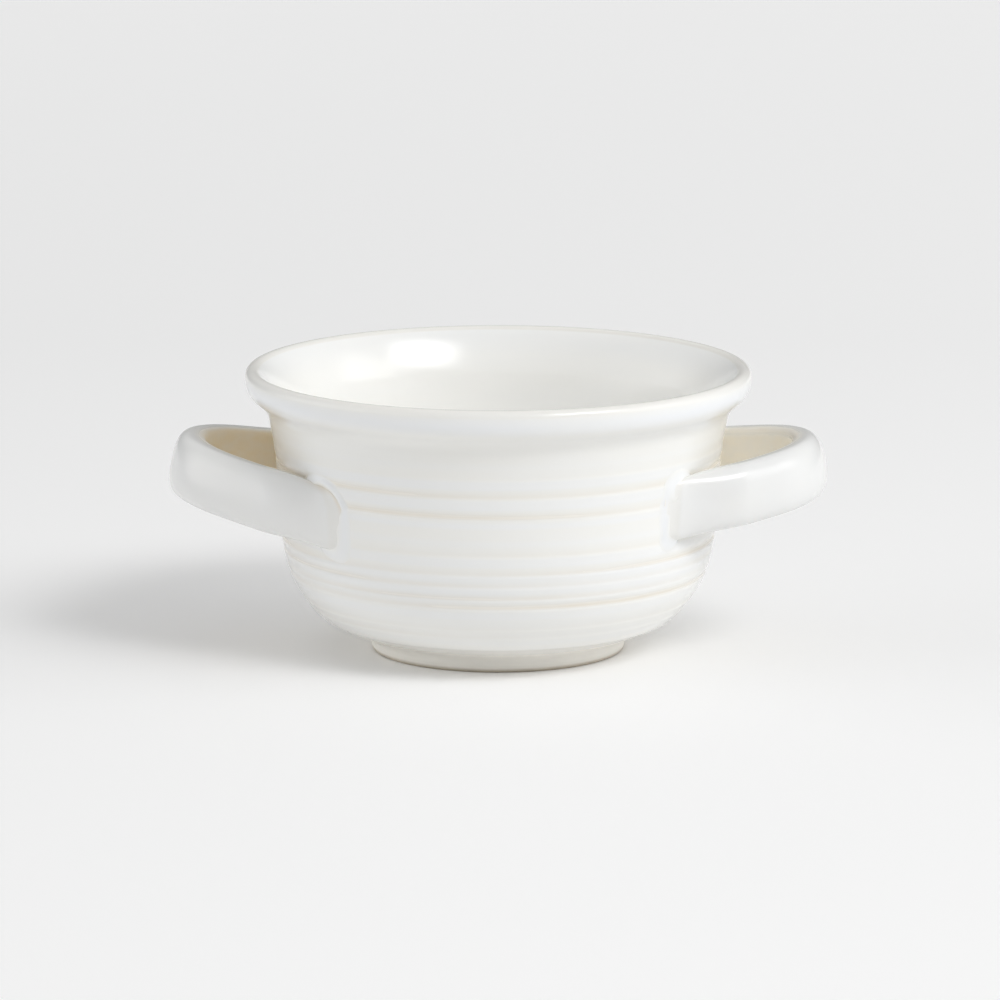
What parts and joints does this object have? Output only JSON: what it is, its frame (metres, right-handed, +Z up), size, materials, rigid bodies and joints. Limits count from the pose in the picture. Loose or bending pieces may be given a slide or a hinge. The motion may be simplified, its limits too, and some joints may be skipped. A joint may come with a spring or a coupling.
{
  "type": "soup crock",
  "caption": "Round glazed stoneware soup crock with a flared lip, throwing rings, a foot ring and a strap loop handle on each side, for baking and serving soup.",
  "frame": {"origin": "centre of the circle that the foot ring stands on", "axes": "+Z up along the bowl's axis, +X towards the right handle as seen from the front, +Y away from the front"},
  "size_m": [0.1832, 0.14, 0.079],
  "materials": {
    "white_glaze": "glossy off-white glaze that breaks to warm beige on edges and in the throwing rings",
    "pooled_glaze": "glossy, cooler white where the glaze runs thick round the strap ends",
    "bare_clay": "fired buff stoneware, thinly glazed on the side and bare on the standing edge"
  },
  "bodies": {
    "root": {"bowl_body": "white_glaze", "foot_ring": "bare_clay", "left_handle": "white_glaze", "right_handle": "white_glaze", "left_front_slip": "pooled_glaze", "left_rear_slip": "pooled_glaze", "right_front_slip": "pooled_glaze", "right_rear_slip": "pooled_glaze"}
  },
  "joints": []
}
